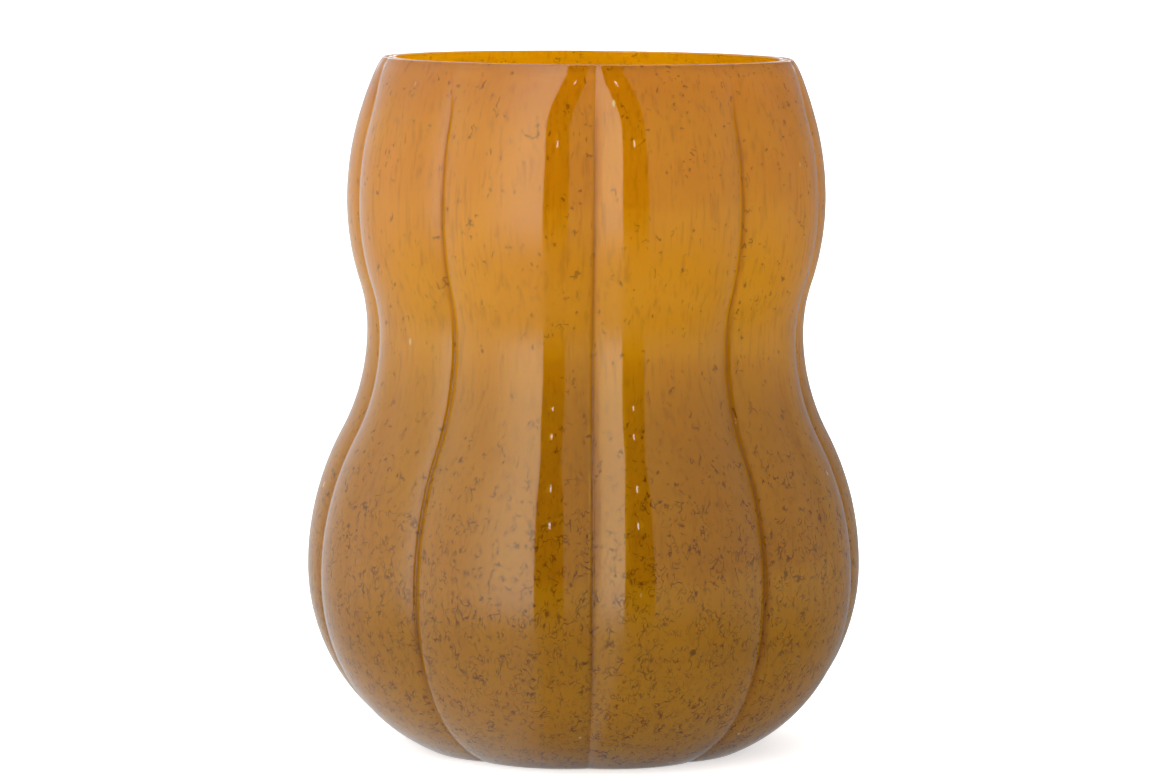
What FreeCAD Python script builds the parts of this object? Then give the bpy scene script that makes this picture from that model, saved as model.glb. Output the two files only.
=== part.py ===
import FreeCAD, Part
import math
import os

from FreeCAD import Vector

# A mouth-blown gourd vase in lobed glass: a wide lower bowl, a drawn-in waist and a shoulder that
# closes in to a broad cut mouth. Nine lobes run from the mouth to the heel, with a narrow groove
# between each pair. The wall is three plies of glass, fused face to face: an amber core, a thin
# layer of coloured frit over it, and a clear casing that was blown into the lobed mould.
# Millimetres, +Z up. The origin is the middle of the flat base, and a groove faces -Y.

# Outline over the crests of the lobes
belly_radius = 94.5
belly_height = 60.0
heel_draw_in = 39.5
waist_rise = 80.0
waist_draw_in = 20.0
shoulder_rise = 44.0
shoulder_swell = 7.0
mouth_rise = 48.0
mouth_draw_in = 12.0

# Shares of a rise that the lower arc of its S-bend takes
bowl_bend_share = 0.57
waist_bend_share = 0.37

# Depth of the grooves below the crests
base_groove_depth = 2.6
belly_groove_depth = 7.2
waist_groove_depth = 6.0
shoulder_groove_depth = 5.3
mouth_groove_depth = 4.6

# Walls and floors of the plies, from the outside in
casing_wall = 1.3
casing_floor = 3.0
frit_wall = 0.6
frit_floor = 1.0
core_wall = 1.8
core_floor = 5.0

# Edges of the cut mouth, outside and inside
outer_arris = 0.6
inner_arris = 0.5

# Depth of the softer grooves on each face inside the wall, as a share of its crest radius
frit_groove_share = 0.073
core_groove_share = 0.07
cavity_groove_share = 0.06

# Half a lobe in plan, from its crest to a groove: where its straight sides meet, and how much of
# the depth falls in the tight roll beside the groove. Faces inside the wall have no such roll.
outer_side_shares = (0, 0.2, 0.4, 0.6, 0.78, 0.92, 1)
inner_side_shares = (0, 0.5, 1)
roll_share = 0.37
roll_power = 14

# How far the outline turns in one band of a face
outer_band_turn = math.radians(12.0)
inner_band_turn = math.radians(10.0)

lobe_count = 9

# Worked out from the sizes above
waist_height = belly_height + waist_rise
shoulder_height = waist_height + shoulder_rise
vase_height = shoulder_height + mouth_rise
waist_radius = belly_radius - waist_draw_in
shoulder_radius = waist_radius + shoulder_swell
half_lobe = math.pi / lobe_count
front = -math.pi / 2


def bend_radius(rise, draw_in):
    """Radius of an arc that starts upright and draws in by draw_in over rise. An S-bend between
    two upright ends shares the same radius between its two arcs."""
    return (rise**2 + draw_in**2) / (2 * draw_in)


def outline_bends(inset, floor_height):
    """The outline as six tangent arcs, moved in by inset, from the floor up to the mouth. Each is
    (centre radius, centre height, arc radius, side, low angle, high angle), and side is 1 for a
    bulge and -1 for a hollow."""
    heel = bend_radius(belly_height, heel_draw_in)
    mouth = bend_radius(mouth_rise, mouth_draw_in)
    lower_s_bend = bend_radius(waist_rise, waist_draw_in)
    upper_s_bend = bend_radius(shoulder_rise, shoulder_swell)
    bowl = bowl_bend_share * lower_s_bend
    under_waist = lower_s_bend - bowl
    over_waist = waist_bend_share * upper_s_bend
    under_shoulder = upper_s_bend - over_waist
    lower_turn = math.asin(waist_rise / lower_s_bend)
    upper_turn = math.asin(shoulder_rise / upper_s_bend)
    floor_turn = math.asin((floor_height - belly_height) / (heel - inset))
    mouth_turn = math.asin(mouth_rise / (mouth - inset))
    return [
        (belly_radius - heel, belly_height, heel - inset, 1, floor_turn, 0),
        (belly_radius - bowl, belly_height, bowl - inset, 1, 0, lower_turn),
        (waist_radius + under_waist, waist_height, under_waist + inset, -1, -lower_turn, 0),
        (waist_radius + over_waist, waist_height, over_waist + inset, -1, 0, upper_turn),
        (shoulder_radius - under_shoulder, shoulder_height, under_shoulder - inset, 1, -upper_turn, 0),
        (shoulder_radius - mouth, shoulder_height, mouth - inset, 1, 0, mouth_turn),
    ]


def outline_stations(inset, floor_height, band_turn):
    """Crest radius and height at each step up the outline, with every joint of its arcs."""
    stations = []
    for centre_radius, centre_height, radius, side, low, high in outline_bends(inset, floor_height):
        steps = math.ceil((high - low) / band_turn)
        for step in range(1 if stations else 0, steps + 1):
            angle = low + (high - low) * step / steps
            crest_radius = centre_radius + side * radius * math.cos(angle)
            stations.append((crest_radius, centre_height + radius * math.sin(angle)))
    return stations


def groove_depth(height):
    """Depth of the outer grooves, eased from each named height to the next."""
    marks = [
        (0, base_groove_depth),
        (belly_height, belly_groove_depth),
        (waist_height, waist_groove_depth),
        (shoulder_height, shoulder_groove_depth),
        (vase_height, mouth_groove_depth),
    ]
    for (low, low_depth), (high, high_depth) in zip(marks, marks[1:]):
        if height <= high:
            way = (height - low) / (high - low)
            return low_depth + (high_depth - low_depth) * way**2 * (3 - 2 * way)
    return mouth_groove_depth


def lobed_ring(crest_radius, depth, height, side_shares, roll):
    """Closed ring of lobes, each mirrored about its crest, with straight sides between its marks."""
    lobe_marks = [-share for share in side_shares[:0:-1]] + list(side_shares[:-1])
    points = []
    for lobe in range(lobe_count):
        for mark in lobe_marks:
            dip = (1 - roll) * mark**2 + roll * mark**roll_power
            radius = crest_radius - depth * dip
            angle = front + (2 * lobe + 1 + mark) * half_lobe
            points.append(Vector(radius * math.cos(angle), radius * math.sin(angle), height))
    return Part.makePolygon(points + points[:1])


def with_arris(stations, arris):
    """The stations with an arris at the mouth, which narrows it over the arris's own height, or
    widens it where the arris is negative."""
    mouth_radius, mouth_height = stations[-1]
    return stations[:-1] + [(mouth_radius, mouth_height - abs(arris)), (mouth_radius - arris, mouth_height)]


def flat_panels(rings):
    """Flat panels between rings of one shape that differ only in size and height."""
    panels = []
    for lower, upper in zip(rings, rings[1:]):
        for low_side, high_side in zip(lower.Edges, upper.Edges):
            low_start, low_end = (vertex.Point for vertex in low_side.Vertexes)
            high_start, high_end = (vertex.Point for vertex in high_side.Vertexes)
            outline = Part.makePolygon([low_start, low_end, high_end, high_start, low_start])
            panels.append(Part.Face(outline))
    return panels


def outer_face():
    """The moulded outside, as its rings from the base up to the mouth and a loft through them."""
    stations = with_arris(outline_stations(0, 0, outer_band_turn), outer_arris)
    rings = [
        lobed_ring(crest_radius, groove_depth(height), height, outer_side_shares, roll_share)
        for crest_radius, height in stations
    ]
    return rings, Part.makeLoft(rings, False, True).Faces


def inner_face(stations, groove_share):
    """One face inside the wall, as its rings from the floor up to the mouth and their panels."""
    rings = [
        lobed_ring(crest_radius, groove_share * crest_radius, height, inner_side_shares, 0)
        for crest_radius, height in stations
    ]
    return rings, flat_panels(rings)


def frit_face():
    stations = outline_stations(casing_wall, casing_floor, inner_band_turn)
    return inner_face(stations, frit_groove_share)


def core_face():
    stations = outline_stations(casing_wall + frit_wall, casing_floor + frit_floor, inner_band_turn)
    return inner_face(stations, core_groove_share)


def cavity_face():
    wall = casing_wall + frit_wall + core_wall
    floor = casing_floor + frit_floor + core_floor
    stations = with_arris(outline_stations(wall, floor, inner_band_turn), -inner_arris)
    return inner_face(stations, cavity_groove_share)


def ply(outside, inside):
    """One ply of glass as a closed cup between two faces, with its floor, base and cut mouth."""
    outer_rings, outer_skin = outside
    inner_rings, inner_skin = inside
    mouth = Part.makeFace([outer_rings[-1], inner_rings[-1]], "Part::FaceMakerBullseye").Faces
    floors = [Part.Face(outer_rings[0]), Part.Face(inner_rings[0])]
    shell = Part.makeShell(outer_skin + inner_skin + mouth + floors)
    shell.sewShape()
    solid = Part.makeSolid(shell)
    if solid.Volume < 0:
        solid.reverse()
    return solid


def clear_casing():
    return ply(outer_face(), frit_face())


def frit_layer():
    return ply(frit_face(), core_face())


def amber_core():
    return ply(core_face(), cavity_face())


os.makedirs("parts", exist_ok=True)
for make in (clear_casing, frit_layer, amber_core):
    solid = make()
    solid.exportStep(os.path.join("parts", make.__name__ + ".step"))
    print(make.__name__, solid.ShapeType, len(solid.Faces), "faces", solid.isValid(), round(solid.Volume))
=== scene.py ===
import math

import bpy
import bmesh
from mathutils import Matrix, Vector


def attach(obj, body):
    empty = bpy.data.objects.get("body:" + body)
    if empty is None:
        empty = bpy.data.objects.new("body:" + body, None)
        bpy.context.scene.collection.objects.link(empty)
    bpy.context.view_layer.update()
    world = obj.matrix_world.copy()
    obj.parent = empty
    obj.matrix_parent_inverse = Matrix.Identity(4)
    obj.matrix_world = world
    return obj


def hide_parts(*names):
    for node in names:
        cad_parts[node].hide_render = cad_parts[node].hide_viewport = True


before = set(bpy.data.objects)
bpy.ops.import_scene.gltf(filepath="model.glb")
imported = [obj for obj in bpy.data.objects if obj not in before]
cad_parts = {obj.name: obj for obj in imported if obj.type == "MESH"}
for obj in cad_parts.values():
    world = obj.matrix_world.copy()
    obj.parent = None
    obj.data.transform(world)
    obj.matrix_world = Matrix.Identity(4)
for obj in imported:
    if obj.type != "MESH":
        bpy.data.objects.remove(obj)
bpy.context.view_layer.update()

# The gourd vase of the photograph: three plies of glass, dressed over the solids of the same names.
# Lengths of the vase are in millimetres until its meshes are made, and the studio's are in metres.
MM = 0.001

# Outline over the crests of the lobes, as in the part's source
BELLY_RADIUS = 94.5
BELLY_HEIGHT = 60.0
HEEL_DRAW_IN = 39.5
WAIST_RISE = 80.0
WAIST_DRAW_IN = 20.0
SHOULDER_RISE = 44.0
SHOULDER_SWELL = 7.0
MOUTH_RISE = 48.0
MOUTH_DRAW_IN = 12.0
BOWL_BEND_SHARE = 0.57
WAIST_BEND_SHARE = 0.37
LOBES = 9

WAIST_HEIGHT = BELLY_HEIGHT + WAIST_RISE
SHOULDER_HEIGHT = WAIST_HEIGHT + SHOULDER_RISE
VASE_HEIGHT = SHOULDER_HEIGHT + MOUTH_RISE
WAIST_RADIUS = BELLY_RADIUS - WAIST_DRAW_IN
SHOULDER_RADIUS = WAIST_RADIUS + SHOULDER_SWELL

# Height at which the grooves start to fade towards the mouth
FADE_HEIGHT = VASE_HEIGHT - 20.0

# Depth of each lobe's broad swell, and of the tight roll beside a groove, by height
SWELL_DEPTHS = [
    (0.0, 2.2),
    (BELLY_HEIGHT, 4.8),
    (WAIST_HEIGHT, 4.6),
    (SHOULDER_HEIGHT, 4.4),
    (FADE_HEIGHT, 4.1),
    (VASE_HEIGHT, 0.9),
]
ROLL_DEPTHS = [
    (0.0, 0.4),
    (BELLY_HEIGHT, 1.4),
    (WAIST_HEIGHT, 1.1),
    (SHOULDER_HEIGHT, 1.0),
    (FADE_HEIGHT, 0.8),
    (VASE_HEIGHT, 0.2),
]
ROLL_POWER = 14

# Walls and floors of the plies from the outside in, and the clearance that keeps their faces apart
CASING_WALL = 1.3
CASING_FLOOR = 3.0
FRIT_WALL = 0.6
FRIT_FLOOR = 1.0
CORE_WALL = 1.8
CORE_FLOOR = 5.0
CLEARANCE = 0.04
FRIT_INSET = CASING_WALL
CORE_INSET = CASING_WALL + FRIT_WALL
CAVITY_INSET = CORE_INSET + CORE_WALL
FRIT_BOTTOM = CASING_FLOOR
CORE_BOTTOM = CASING_FLOOR + FRIT_FLOOR
CAVITY_BOTTOM = CORE_BOTTOM + CORE_FLOOR

# Depth of the softer grooves on the faces inside the wall, as a share of the outer grooves' depth
FRIT_GROOVE_SHARE = 0.93
CORE_GROOVE_SHARE = 0.9
CAVITY_GROOVE_SHARE = 0.8

# Rounding of the cut mouth
OUTER_LIP = 0.7
INNER_LIP = -0.6
LIP_STEPS = 6
LIP_MARGIN = 0.2

# Fineness of the meshes, around half a lobe and up the outline
HALF_LOBE_STEPS = 16
CROWDING = 1.55
FINE_TURN = math.radians(1.6)
COARSE_TURN = math.radians(3.2)
CAVITY_TURN = COARSE_TURN / 1.5
INNER_COARSENESS = 4
CAVITY_COARSENESS = 2

# Slow unevenness of the hand-blown wall, always inwards
LEAST_DRIFT = 0.03
BROAD_DRIFT = 0.13
FINE_DRIFT = 0.05

# Its waves, each with its count around the vase, its turn in each millimetre up and its start
SLOW_WAVE = (2, 0.021, 0.6)
QUICK_WAVE = (5, -0.045, 2.1)
RIPPLE_WAVES = [(13, 0.11, 1.3), (3, 0.083, 0.0)]


def bend_radius(rise, draw_in):
    """Radius of an arc that starts upright and draws in by draw_in over rise."""
    return (rise * rise + draw_in * draw_in) / (2 * draw_in)


def outline_bends(inset, floor_height):
    """The outline as six tangent arcs, moved in by inset. Each is (centre radius, centre height, arc
    radius, side, low angle, high angle), and side is 1 for a bulge and -1 for a hollow."""
    heel = bend_radius(BELLY_HEIGHT, HEEL_DRAW_IN)
    mouth = bend_radius(MOUTH_RISE, MOUTH_DRAW_IN)
    lower = bend_radius(WAIST_RISE, WAIST_DRAW_IN)
    upper = bend_radius(SHOULDER_RISE, SHOULDER_SWELL)
    bowl = BOWL_BEND_SHARE * lower
    under_waist = lower - bowl
    over_waist = WAIST_BEND_SHARE * upper
    under_shoulder = upper - over_waist
    lower_turn = math.asin(WAIST_RISE / lower)
    upper_turn = math.asin(SHOULDER_RISE / upper)
    floor_turn = math.asin((floor_height - BELLY_HEIGHT) / (heel - inset))
    mouth_turn = math.asin(MOUTH_RISE / (mouth - inset))
    return [
        (BELLY_RADIUS - heel, BELLY_HEIGHT, heel - inset, 1, floor_turn, 0),
        (BELLY_RADIUS - bowl, BELLY_HEIGHT, bowl - inset, 1, 0, lower_turn),
        (WAIST_RADIUS + under_waist, WAIST_HEIGHT, under_waist + inset, -1, -lower_turn, 0),
        (WAIST_RADIUS + over_waist, WAIST_HEIGHT, over_waist + inset, -1, 0, upper_turn),
        (SHOULDER_RADIUS - under_shoulder, SHOULDER_HEIGHT, under_shoulder - inset, 1, -upper_turn, 0),
        (SHOULDER_RADIUS - mouth, SHOULDER_HEIGHT, mouth - inset, 1, 0, mouth_turn),
    ]


def stations(inset, floor_height, turn):
    """Crest radius and height at each step up the outline."""
    found = []
    for centre_radius, centre_height, radius, side, low, high in outline_bends(inset, floor_height):
        steps = max(2, math.ceil((high - low) / turn))
        for step in range(1 if found else 0, steps + 1):
            angle = low + (high - low) * step / steps
            crest = centre_radius + side * radius * math.cos(angle)
            found.append((crest, centre_height + radius * math.sin(angle)))
    return found


def eased(depths, height):
    """A depth eased from each height in depths to the next."""
    for (low, low_depth), (high, high_depth) in zip(depths, depths[1:]):
        if height <= high:
            way = (height - low) / (high - low)
            return low_depth + (high_depth - low_depth) * way * way * (3 - 2 * way)
    return depths[-1][1]


def moulded(height):
    """Swell and roll of the outer face."""
    return eased(SWELL_DEPTHS, height), eased(ROLL_DEPTHS, height)


def soft(share):
    """Swell of a face inside the wall, which has no roll."""
    return lambda height: (share * sum(moulded(height)), 0.0)


def crowded_marks(steps):
    """Steps from a lobe's crest to its groove, closer together towards the groove."""
    return [1 - (1 - step / steps) ** CROWDING for step in range(steps + 1)]


def swing(wave, angle, height):
    around, upwards, start = wave
    return math.sin(around * angle + upwards * height + start)


def drift(angle, height):
    """Slow unevenness of the wall at one place, always inwards."""
    broad = 0.5 + 0.25 * swing(SLOW_WAVE, angle, height) + 0.25 * swing(QUICK_WAVE, angle, height)
    ripple = math.prod(swing(wave, angle, height) for wave in RIPPLE_WAVES)
    return LEAST_DRIFT + BROAD_DRIFT * broad + FINE_DRIFT * (0.5 + 0.5 * ripple)


def lobed_ring(crest, swell, roll, height, marks, wave):
    """Points of one ring of lobes, from the groove that faces -Y."""
    points = []
    lobe_marks = [-mark for mark in marks[:0:-1]] + list(marks[:-1])
    for lobe in range(LOBES):
        for mark in lobe_marks:
            share = abs(mark)
            angle = -math.pi / 2 + (2 * lobe + 1 + mark) * math.pi / LOBES
            radius = crest - swell * share * share - roll * share**ROLL_POWER
            if wave:
                radius -= wave(angle, height)
            points.append((radius * math.cos(angle), radius * math.sin(angle), height))
    return points


def with_lip(steps_up, lip):
    """The stations with a rounded edge at the mouth, on the outside or, if lip is negative, inside."""
    top_radius, top_height = steps_up[-1]
    size = abs(lip)
    side = 1 if lip > 0 else -1
    rounded = [station for station in steps_up if station[1] < top_height - size - LIP_MARGIN]
    for step in range(LIP_STEPS + 1):
        angle = math.radians(90) * step / LIP_STEPS
        radius = top_radius - side * size * (1 - math.cos(angle))
        rounded.append((radius, top_height - size * (1 - math.sin(angle))))
    return rounded


def rings_of(inset, floor_height, marks, turn, depths, wave=None, lip=None):
    """One face of a ply, as its rings from the floor up to the mouth."""
    steps_up = stations(inset, floor_height, turn)
    if lip:
        steps_up = with_lip(steps_up, lip)
    return [lobed_ring(crest, *depths(height), height, marks, wave) for crest, height in steps_up]


class Cup:
    """A closed cup of glass between two stacks of rings, each with its own number of points."""

    def __init__(self, outside, inside, outer_slot, inner_slot):
        self.points = []
        self.faces = []
        self.slots = []
        outer_foot, outer_top, outer_count = self.add_stack(outside, False, outer_slot)
        inner_foot, inner_top, inner_count = self.add_stack(inside, True, inner_slot)
        self.add_floor(outer_foot, outer_count, True, outer_slot)
        self.add_floor(inner_foot, inner_count, False, inner_slot)
        self.add_mouth(outer_top, outer_count, inner_top, inner_count)

    def add_stack(self, rings, flip, slot):
        start = len(self.points)
        count = len(rings[0])
        for ring in rings:
            self.points.extend(ring)
        for row in range(len(rings) - 1):
            for column in range(count):
                a = start + row * count + column
                b = start + row * count + (column + 1) % count
                c = b + count
                d = a + count
                self.faces.append((a, d, c, b) if flip else (a, b, c, d))
                self.slots.append(slot)
        return start, start + (len(rings) - 1) * count, count

    def add_floor(self, foot, count, flip, slot):
        centre = len(self.points)
        self.points.append((0.0, 0.0, self.points[foot][2]))
        for column in range(count):
            a = foot + column
            b = foot + (column + 1) % count
            self.faces.append((a, centre, b) if flip else (a, b, centre))
            self.slots.append(slot)

    def add_mouth(self, outer_top, outer_count, inner_top, inner_count):
        """Each side of the coarser ring faces several of the finer one."""
        outer_is_fine = outer_count >= inner_count
        fine, fine_count = (outer_top, outer_count) if outer_is_fine else (inner_top, inner_count)
        coarse, coarse_count = (inner_top, inner_count) if outer_is_fine else (outer_top, outer_count)
        step = fine_count // coarse_count
        for column in range(coarse_count):
            near = [fine + (column * step + k) % fine_count for k in range(step + 1)]
            far = [coarse + (column + 1) % coarse_count, coarse + column]
            side = near + far
            self.faces.append(tuple(side if outer_is_fine else side[::-1]))
            self.slots.append(0)

    def make(self, name):
        mesh = bpy.data.meshes.new(name)
        mesh.from_pydata([(x * MM, y * MM, z * MM) for x, y, z in self.points], [], self.faces)
        mesh.validate()
        for face, slot in zip(mesh.polygons, self.slots):
            face.material_index = slot
            face.use_smooth = True
        mesh.update()
        made = bpy.data.objects.new(name, mesh)
        bpy.context.scene.collection.objects.link(made)
        return made


class Tree:
    """Short ways to build a tree of shader nodes."""

    def __init__(self, nodes, output_kind):
        self.nodes = nodes
        self.nodes.nodes.clear()
        self.output = self.nodes.nodes.new(output_kind)

    def node(self, kind, inputs=None, **settings):
        made = self.nodes.nodes.new(kind)
        for key, value in settings.items():
            setattr(made, key, value)
        for key, value in (inputs or {}).items():
            self.put(made.inputs[key], value)
        return made

    def put(self, socket, value):
        if isinstance(value, bpy.types.NodeSocket):
            self.nodes.links.new(value, socket)
        else:
            socket.default_value = value

    def math(self, operation, *values):
        made = self.node("ShaderNodeMath", operation=operation)
        for socket, value in zip(made.inputs, values):
            self.put(socket, value)
        return made.outputs[0]

    def add(self, first, second):
        return self.math("ADD", first, second)

    def less(self, first, second):
        return self.math("SUBTRACT", first, second)

    def times(self, first, second):
        return self.math("MULTIPLY", first, second)

    def most(self, first, second):
        return self.math("MAXIMUM", first, second)

    def off(self, value, middle):
        """How far value lies from middle."""
        return self.math("ABSOLUTE", self.less(value, middle))

    def blend(self, share, first, second):
        """The level first, turning into second as share goes from 0 to 1."""
        return self.add(self.times(first, self.less(1.0, share)), self.times(share, second))

    def remap(self, value, low, high, to_low=0.0, to_high=1.0, easing="SMOOTHSTEP"):
        return self.node("ShaderNodeMapRange", interpolation_type=easing, inputs={
            "Value": value,
            "From Min": low,
            "From Max": high,
            "To Min": to_low,
            "To Max": to_high,
        }).outputs[0]

    def noise(self, vector, scale, detail, roughness=0.5, distortion=0.0):
        return self.node("ShaderNodeTexNoise", inputs={
            "Vector": vector,
            "Scale": scale,
            "Detail": detail,
            "Roughness": roughness,
            "Distortion": distortion,
        }).outputs["Fac"]

    def stretch(self, vector, scale, shift=(0, 0, 0)):
        inputs = {"Vector": vector, "Scale": scale, "Location": shift}
        return self.node("ShaderNodeMapping", inputs=inputs).outputs[0]

    def mix(self, share, first, second, kind="MIX"):
        made = self.node("ShaderNodeMix", data_type="RGBA", blend_type=kind)
        for socket, value in zip((made.inputs[0], made.inputs[6], made.inputs[7]), (share, first, second)):
            self.put(socket, value)
        return made.outputs[2]

    def tint(self, colour, factors):
        """The colour with its red, green and blue each multiplied."""
        return self.mix(1.0, colour, (*factors, 1), "MULTIPLY")

    def ramp(self, share, stops):
        made = self.node("ShaderNodeValToRGB", inputs={"Fac": share})
        elements = made.color_ramp.elements
        while len(elements) < len(stops):
            elements.new(0.5)
        for element, (place, colour) in zip(elements, stops):
            element.position = place
            element.color = (*colour, 1)
        return made.outputs[0]

    def shader(self, kind, **inputs):
        return self.node(kind, inputs=inputs).outputs[0]

    def join(self, kind, first, second, share=None):
        """Two shaders added, or mixed by share."""
        made = self.node(kind)
        if share is not None:
            self.put(made.inputs[0], share)
        self.nodes.links.new(first, made.inputs[-2])
        self.nodes.links.new(second, made.inputs[-1])
        return made.outputs[0]

    def finish(self, shader):
        self.nodes.links.new(shader, self.output.inputs["Surface"])


def new_material(name):
    material = bpy.data.materials.new(name)
    material.use_nodes = True
    return material, Tree(material.node_tree, "ShaderNodeOutputMaterial")


GLASS_IOR = 1.5
CASING_TINT = (1.0, 0.99, 0.96)
CORE_TINT = (0.99, 0.80, 0.06)
WHITE = (1.0, 1.0, 1.0, 1.0)


def polished_glass(name, tint):
    material, tree = new_material(name)
    tree.finish(tree.node("ShaderNodeBsdfPrincipled", inputs={
        "Base Color": (*tint, 1),
        "Roughness": 0.0,
        "IOR": GLASS_IOR,
        "Transmission Weight": 1.0,
    }).outputs[0])
    return material


def fused_face():
    """Where two plies are fused there is no surface to see."""
    material, tree = new_material("fused_face")
    tree.finish(tree.shader("ShaderNodeBsdfTransparent", Color=WHITE))
    return material


# The frit's colour by share of the height
FRIT_COLOURS = [
    (0.00, (0.700, 0.360, 0.006)),
    (0.10, (0.645, 0.292, 0.004)),
    (0.18, (0.585, 0.252, 0.003)),
    (0.29, (0.675, 0.288, 0.003)),
    (0.52, (0.795, 0.352, 0.003)),
    (0.60, (0.910, 0.425, 0.003)),
    (0.68, (0.955, 0.450, 0.003)),
    (0.86, (0.950, 0.408, 0.003)),
    (1.00, (0.992, 0.465, 0.003)),
]

# Heights in metres between which each feature of the frit comes or goes
STREAK_HEIGHTS = (0.10, 0.15)
FLECK_HEIGHTS = (0.130, 0.060)
GROOVE_TOP_HEIGHTS = (0.226, 0.205)
GROOVE_FOOT_HEIGHTS = (0.012, 0.045)
GLOW_HEIGHTS = (0.205, 0.230)

# How a pattern's space is squeezed, so that the pattern is drawn out upright
CLOUD_SQUEEZE = (1, 1, 0.35)
STREAK_SQUEEZE = (1, 1, 0.11)
FLECK_SQUEEZE = (1, 1, 0.7)
GATE_SQUEEZE = (1, 1, 0.8)
SEED_SQUEEZE = (1, 1, 0.5)

# Noises by scale, detail and roughness
CLOUD_NOISE = (34, 3, 0.55)
STREAK_NOISE = (620, 2, 0.6)

# Levels of a pattern between which it comes in
CLOUD_LEVELS = (0.3, 0.7)
STREAK_LEVELS = (0.48, 0.74)
FLECK_LINE_LEVELS = (0.042, 0.012)
SEED_LEVELS = (0.05, 0.025)

# What a pattern does to the colour under it, and how strongly
DARK_CLOUD = (0.965, 0.94, 0.9)
LIGHT_CLOUD = (1.01, 1.05, 1.1)
STREAK_TINT = (0.74, 0.66, 0.5)
STREAK_STRENGTHS = (0.4, 0.55)
FLECK_TINT = (0.36, 0.28, 0.20)
# The grooves' tint and its strength: painted shade in the creases, together with the darker frit gathered
# there
GROOVE_SHADE_TINT = (0.68, 0.55, 0.45)
GROOVE_SHADE_STRENGTH = 0.8
# The seeds' colour and strength: a painted highlight, the glint of each bubble
SEED_GLINT_COLOUR = (1.0, 0.88, 0.45, 1)
SEED_GLINT_STRENGTH = 0.9

# Scale and shift of each layer of flecks, then detail, roughness and distortion of them all
FLECK_LAYERS = [
    (340, (0, 0, 0)),
    (450, (3.1, 1.7, 0.4)),
    (560, (1.3, 5.2, 2.4)),
]
FLECK_NOISE = (1, 0.4, 0.5)

# A coarser noise gates the flecks: its scale, detail and place, and the levels at which it opens
GATE_SCALE_SHARE = 0.7
GATE_DETAIL = 1
GATE_SHIFT = 2.0
GATE_LEVELS = (0.665, 0.70)
GATE_DENSE_DROP = 0.2

# Strength of a fleck where they are sparse, and what it gains where they are dense
SPARSE_FLECK = 0.65
DENSE_FLECK_GAIN = 0.3

# Half the width of a groove's darker line, painted shade with gathered frit, as a share of a lobe
GROOVE_LINE_SHARE = 0.032

SEED_SHIFT = (0.7, 0.2, 0.1)
SEED_SCALE = 62.0

# The frit's skin, and the light that comes through it, with more of it near the mouth
FRIT_ROUGHNESS = 0.06
FRIT_SPECULAR = 0.62
FRIT_SHEEN = (1.0, 0.66, 0.02, 1)
GLOW_TINT = (1.1, 1.1, 1.0)
GLOW_SHARES = (0.45, 0.78)


def cloudy(tree, place, body):
    """Soft clouds of darker and lighter glass."""
    cloud = tree.noise(tree.stretch(place, CLOUD_SQUEEZE), *CLOUD_NOISE)
    darker = tree.tint(body, DARK_CLOUD)
    lighter = tree.tint(body, LIGHT_CLOUD)
    return tree.mix(tree.remap(cloud, *CLOUD_LEVELS), darker, lighter)


def streaked(tree, place, z, body):
    """Fine upright streaks of drawn-out frit, stronger in the upper half."""
    streak = tree.noise(tree.stretch(place, STREAK_SQUEEZE), *STREAK_NOISE)
    strength = tree.remap(z, *STREAK_HEIGHTS, *STREAK_STRENGTHS)
    shade = tree.tint(body, STREAK_TINT)
    return tree.mix(tree.remap(streak, *STREAK_LEVELS, 0.0, strength), body, shade)


def flecked(tree, place, z, body):
    """Short curled flecks: contour lines of a noise, broken up by another, and denser lower down."""
    dense = tree.remap(z, *FLECK_HEIGHTS)
    fleck = 0.0
    for scale, shift in FLECK_LAYERS:
        field = tree.noise(tree.stretch(place, FLECK_SQUEEZE, shift), scale, *FLECK_NOISE)
        line = tree.remap(tree.off(field, 0.5), *FLECK_LINE_LEVELS)
        gate_place = tree.stretch(place, GATE_SQUEEZE, (shift[1], shift[2], GATE_SHIFT))
        gate = tree.noise(gate_place, scale * GATE_SCALE_SHARE, GATE_DETAIL)
        opening = tree.less(GATE_LEVELS[0], tree.times(dense, GATE_DENSE_DROP))
        short = tree.remap(gate, opening, GATE_LEVELS[1])
        fleck = tree.most(fleck, tree.times(line, short))
    strength = tree.add(tree.times(dense, DENSE_FLECK_GAIN), SPARSE_FLECK)
    return tree.mix(tree.times(fleck, strength), body, tree.tint(body, FLECK_TINT))


def frit_and_shade_in_grooves(tree, x, y, z, body):
    """Darkened along the bottom of each groove, but not at the mouth or the heel: the frit gathers there,
    and the rest is painted shade of the crease.
    """
    turn = tree.times(tree.math("ARCTAN2", x, tree.times(y, -1.0)), LOBES / (2 * math.pi))
    away = tree.off(turn, tree.math("ROUND", turn))
    near_groove = tree.remap(away, GROOVE_LINE_SHARE, 0.0, 0.0, GROOVE_SHADE_STRENGTH)
    under_mouth = tree.remap(z, *GROOVE_TOP_HEIGHTS)
    over_heel = tree.remap(z, *GROOVE_FOOT_HEIGHTS)
    line = tree.times(near_groove, tree.times(under_mouth, over_heel))
    return tree.mix(line, body, tree.tint(body, GROOVE_SHADE_TINT))


def seed_glints(tree, place, body):
    """A few seed bubbles, drawn out upright, each painted as a bright spot: a painted highlight where the
    bubble glints.
    """
    spread = tree.stretch(place, SEED_SQUEEZE, SEED_SHIFT)
    seed = tree.node("ShaderNodeTexVoronoi", inputs={"Vector": spread, "Scale": SEED_SCALE})
    share = tree.remap(seed.outputs["Distance"], *SEED_LEVELS, 0.0, SEED_GLINT_STRENGTH)
    return tree.mix(share, body, SEED_GLINT_COLOUR)


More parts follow.
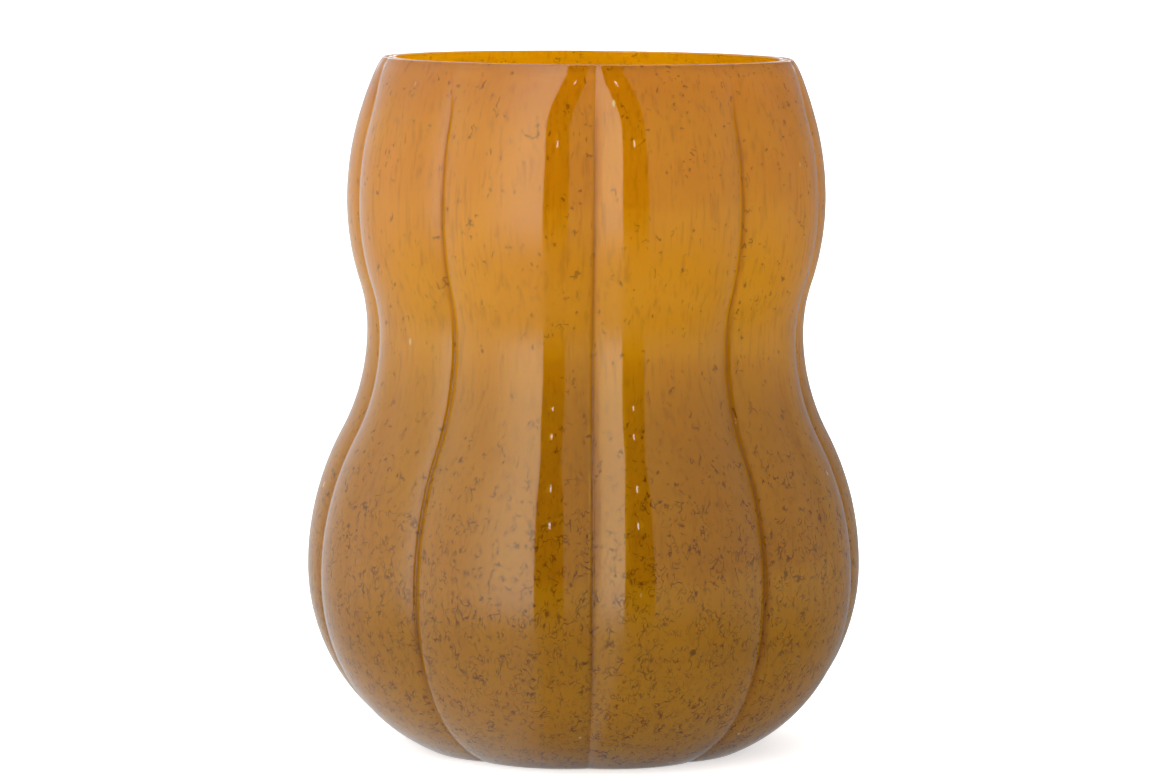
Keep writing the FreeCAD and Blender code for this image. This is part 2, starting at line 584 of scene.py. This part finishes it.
def frit_glass():
    material, tree = new_material("frit_glass")
    place = tree.node("ShaderNodeTexCoord").outputs["Object"]
    x, y, z = tree.node("ShaderNodeSeparateXYZ", inputs={"Vector": place}).outputs
    body = tree.ramp(tree.remap(z, 0.0, VASE_HEIGHT * MM, easing="LINEAR"), FRIT_COLOURS)
    body = cloudy(tree, place, body)
    body = streaked(tree, place, z, body)
    body = flecked(tree, place, z, body)
    body = frit_and_shade_in_grooves(tree, x, y, z, body)
    body = seed_glints(tree, place, body)
    skin = tree.node("ShaderNodeBsdfPrincipled", inputs={
        "Base Color": body,
        "Roughness": FRIT_ROUGHNESS,
        "IOR": GLASS_IOR,
        "Specular IOR Level": FRIT_SPECULAR,
        "Specular Tint": FRIT_SHEEN,
    }).outputs[0]
    glow = tree.shader("ShaderNodeBsdfTranslucent", Color=tree.tint(body, GLOW_TINT))
    through = tree.remap(z, *GLOW_HEIGHTS, *GLOW_SHARES)
    tree.finish(tree.join("ShaderNodeMixShader", skin, glow, through))
    return material


OUTER_MARKS = crowded_marks(HALF_LOBE_STEPS)
INNER_MARKS = OUTER_MARKS[::INNER_COARSENESS]
CAVITY_MARKS = OUTER_MARKS[::CAVITY_COARSENESS]


def dress(piece, visible, hidden, node):
    """Its visible face has the first material and the fused one the second."""
    for material in (visible, hidden):
        piece.data.materials.append(material)
    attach(piece, "root")
    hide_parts(node)


def make_casing(hidden):
    outside = rings_of(0.0, 0.0, OUTER_MARKS, FINE_TURN, moulded, drift, OUTER_LIP)
    inside = rings_of(FRIT_INSET, FRIT_BOTTOM, INNER_MARKS, COARSE_TURN, soft(FRIT_GROOVE_SHARE))
    piece = Cup(outside, inside, 0, 1).make("clear_casing_glass")
    glass = polished_glass("casing_glass", CASING_TINT)
    dress(piece, glass, hidden, "clear_casing")


def make_frit(hidden):
    outside = rings_of(FRIT_INSET + CLEARANCE, FRIT_BOTTOM + CLEARANCE, INNER_MARKS, COARSE_TURN,
                       soft(FRIT_GROOVE_SHARE))
    inside = rings_of(CORE_INSET, CORE_BOTTOM, INNER_MARKS, COARSE_TURN, soft(CORE_GROOVE_SHARE))
    piece = Cup(outside, inside, 0, 1).make("frit_layer_glass")
    dress(piece, frit_glass(), hidden, "frit_layer")


def make_core(hidden):
    outside = rings_of(CORE_INSET + CLEARANCE, CORE_BOTTOM + CLEARANCE, INNER_MARKS, COARSE_TURN,
                       soft(CORE_GROOVE_SHARE))
    inside = rings_of(CAVITY_INSET, CAVITY_BOTTOM, CAVITY_MARKS, CAVITY_TURN,
                      soft(CAVITY_GROOVE_SHARE), drift, INNER_LIP)
    piece = Cup(outside, inside, 1, 0).make("amber_core_glass")
    glass = polished_glass("core_glass", CORE_TINT)
    dress(piece, glass, hidden, "amber_core")


# The studio, in metres, and how much the camera sees the floor lifted towards white
FLOOR_HALF_WIDTH = 6.0
FLOOR_FRONT = -6.0
FLOOR_BACK = 2.2
COVE_RADIUS = 1.6
COVE_STEPS = 40
BACKDROP_TOP = 5.0
FLOOR_WHITE = (0.80, 0.80, 0.80, 1)
FLOOR_LIFT = 0.56


def floor_material():
    """White to the camera, and it still takes the vase's soft shadow."""
    material, tree = new_material("studio_floor")
    diffuse = tree.shader("ShaderNodeBsdfDiffuse", Color=FLOOR_WHITE)
    seen = tree.node("ShaderNodeLightPath").outputs["Is Camera Ray"]
    lift = tree.shader("ShaderNodeEmission", Color=WHITE, Strength=tree.times(seen, FLOOR_LIFT))
    tree.finish(tree.join("ShaderNodeAddShader", diffuse, lift))
    return material


def make_floor():
    profile = [(FLOOR_FRONT, 0.0), (FLOOR_BACK, 0.0)]
    for step in range(1, COVE_STEPS + 1):
        angle = math.radians(90) * step / COVE_STEPS
        profile.append((FLOOR_BACK + COVE_RADIUS * math.sin(angle), COVE_RADIUS * (1 - math.cos(angle))))
    profile.append((FLOOR_BACK + COVE_RADIUS, BACKDROP_TOP))
    sheet = bmesh.new()
    rows = [[sheet.verts.new((x, y, z)) for x in (-FLOOR_HALF_WIDTH, FLOOR_HALF_WIDTH)] for y, z in profile]
    for near, far in zip(rows, rows[1:]):
        sheet.faces.new((near[0], near[1], far[1], far[0]))
    mesh = bpy.data.meshes.new("studio_floor")
    sheet.to_mesh(mesh)
    sheet.free()
    for face in mesh.polygons:
        face.use_smooth = True
    floor = bpy.data.objects.new("studio_floor", mesh)
    bpy.context.scene.collection.objects.link(floor)
    floor.data.materials.append(floor_material())
    floor.visible_glossy = False


# The light comes by direction: a turn is in degrees to the right of -Y, and x, y and z are those of a
# direction one long. A pair gives the two places between which a level changes, or its two levels.

# The dark gap between the walls of light
GAP_LEFT_EDGE = (-7.8, -9.4)
GAP_RIGHT_EDGE = (13.4, 15.0)
GAP_MIDDLE = 2.8
GAP_LEVEL = 0.02

# The walls of light, and the even level that takes over below them
LEFT_WALL_TURNS = (-75.0, -20.0)
LEFT_WALL_LEVELS = (1.25, 2.6)
RIGHT_WALL_LEVEL = 0.56
LOW_FADE_Z = (-0.04, -0.46)
LOW_X = (-0.25, 0.0)
LOW_LEVELS = (0.80, 0.25)
FOOT_FADE_Z = (-0.45, -0.50)
FOOT_LEVEL = 0.3

# The lamps in the gap: their heights, their blurred edges and their level
LAMP_HEIGHTS = (0.60, 0.386)
LAMP_SIDE_EDGE = (0.9, 0.5)
LAMP_UPPER_EDGE = (0.026, 0.012)
LAMP_LEVEL = 9.0

# The backdrop as it is mirrored, with the bright band that the cut mouth catches, and as it lights
BACKDROP_Y = (0.1, 0.6)
MIRRORED_X = (-0.3, 0.3)
MIRRORED_LEVELS = (0.78, 0.32)
BAND_Z = (0.03, 0.08)
BAND_Y = (0.93, 0.97)
BAND_LEVEL = 1.5
LIGHTING_X = (-0.5, 0.5)
LIGHTING_LEVELS = (1.45, 1.05)

# What multiplies the light where it isn't mirrored. A mirrored ray takes 1 off it.
UNMIRRORED_BOOST = 2.0


def walls_of_light(tree, x, z, azimuth):
    """Two walls of light beside a dark gap. Below them one softer level lights the heel."""
    left = tree.remap(azimuth, *GAP_LEFT_EDGE)
    right = tree.remap(azimuth, *GAP_RIGHT_EDGE)
    left_level = tree.remap(azimuth, *LEFT_WALL_TURNS, *LEFT_WALL_LEVELS)
    level = tree.add(tree.times(left, left_level), tree.times(right, RIGHT_WALL_LEVEL))
    level = tree.add(level, GAP_LEVEL)
    level = tree.blend(tree.remap(z, *LOW_FADE_Z), level, tree.remap(x, *LOW_X, *LOW_LEVELS))
    return tree.most(level, tree.times(tree.remap(z, *FOOT_FADE_Z), FOOT_LEVEL))


def with_lamps(tree, z, azimuth, mirror, level):
    """Small lamps in the gap, which only polished faces mirror."""
    beside = tree.remap(tree.off(azimuth, GAP_MIDDLE), *LAMP_SIDE_EDGE)
    for height in LAMP_HEIGHTS:
        above = tree.remap(tree.off(z, height), *LAMP_UPPER_EDGE)
        level = tree.add(level, tree.times(tree.times(beside, above), tree.times(mirror, LAMP_LEVEL)))
    return level


def backdrop(tree, x, y, z, mirror):
    """Dimmer where it is mirrored than where it lights the body, apart from the bright band."""
    mirrored = tree.remap(x, *MIRRORED_X, *MIRRORED_LEVELS)
    band = tree.times(tree.remap(z, *BAND_Z, 0.0, BAND_LEVEL), tree.remap(y, *BAND_Y))
    lighting = tree.remap(x, *LIGHTING_X, *LIGHTING_LEVELS)
    return tree.blend(mirror, lighting, tree.most(mirrored, band))


def make_world():
    world = bpy.data.worlds.new("studio")
    bpy.context.scene.world = world
    world.use_nodes = True
    tree = Tree(world.node_tree, "ShaderNodeOutputWorld")
    direction = tree.node("ShaderNodeTexCoord").outputs["Generated"]
    x, y, z = tree.node("ShaderNodeSeparateXYZ", inputs={"Vector": direction}).outputs
    azimuth = tree.times(tree.math("ARCTAN2", x, tree.times(y, -1.0)), 180 / math.pi)
    path = tree.node("ShaderNodeLightPath")
    mirror = path.outputs["Is Glossy Ray"]
    level = with_lamps(tree, z, azimuth, mirror, walls_of_light(tree, x, z, azimuth))
    level = tree.blend(tree.remap(y, *BACKDROP_Y), level, backdrop(tree, x, y, z, mirror))
    level = tree.times(level, tree.less(UNMIRRORED_BOOST, mirror))
    level = tree.blend(path.outputs["Is Camera Ray"], level, 1.0)
    tree.finish(tree.shader("ShaderNodeBackground", Color=WHITE, Strength=level))


# The camera that fits the photograph: its focal length and frame in pixels, its sensor in
# millimetres, and its place in metres and radians
PHOTO_FOCAL = 5014
PHOTO_WIDTH = 1170
SENSOR_WIDTH = 36.0
FAR_CLIP = 50
CAMERA_DISTANCE = 1.6826
CAMERA_HEIGHT = 0.2929
CAMERA_TURN = math.radians(1.8)
CAMERA_AIM_SHIFT = 0.00012
CAMERA_YAW = CAMERA_TURN - CAMERA_AIM_SHIFT
CAMERA_PITCH = 0.1025
CAMERA_ROLL = 0.0078


def make_camera():
    data = bpy.data.cameras.new("camera")
    data.sensor_width = SENSOR_WIDTH
    data.sensor_fit = "HORIZONTAL"
    data.lens = PHOTO_FOCAL / PHOTO_WIDTH * SENSOR_WIDTH
    data.clip_end = FAR_CLIP
    camera = bpy.data.objects.new("camera", data)
    bpy.context.scene.collection.objects.link(camera)
    back_off = Vector((math.sin(CAMERA_TURN), math.cos(CAMERA_TURN), 0)) * CAMERA_DISTANCE
    spot = Vector((0, 0, CAMERA_HEIGHT)) - back_off
    upright = Vector((0, 0, 1))
    level_view = Vector((math.sin(CAMERA_YAW), math.cos(CAMERA_YAW), 0))
    forward = (level_view * math.cos(CAMERA_PITCH) - upright * math.sin(CAMERA_PITCH)).normalized()
    level_right = forward.cross(upright).normalized()
    level_up = level_right.cross(forward)
    right = level_right * math.cos(CAMERA_ROLL) + level_up * math.sin(CAMERA_ROLL)
    up = level_up * math.cos(CAMERA_ROLL) - level_right * math.sin(CAMERA_ROLL)
    camera.matrix_world = Matrix((
        (right.x, up.x, -forward.x, spot.x),
        (right.y, up.y, -forward.y, spot.y),
        (right.z, up.z, -forward.z, spot.z),
        (0, 0, 0, 1),
    ))
    bpy.context.scene.camera = camera


fused = fused_face()
make_casing(fused)
make_frit(fused)
make_core(fused)
make_floor()
make_world()
make_camera()
bpy.context.scene.view_settings.view_transform = "Standard"
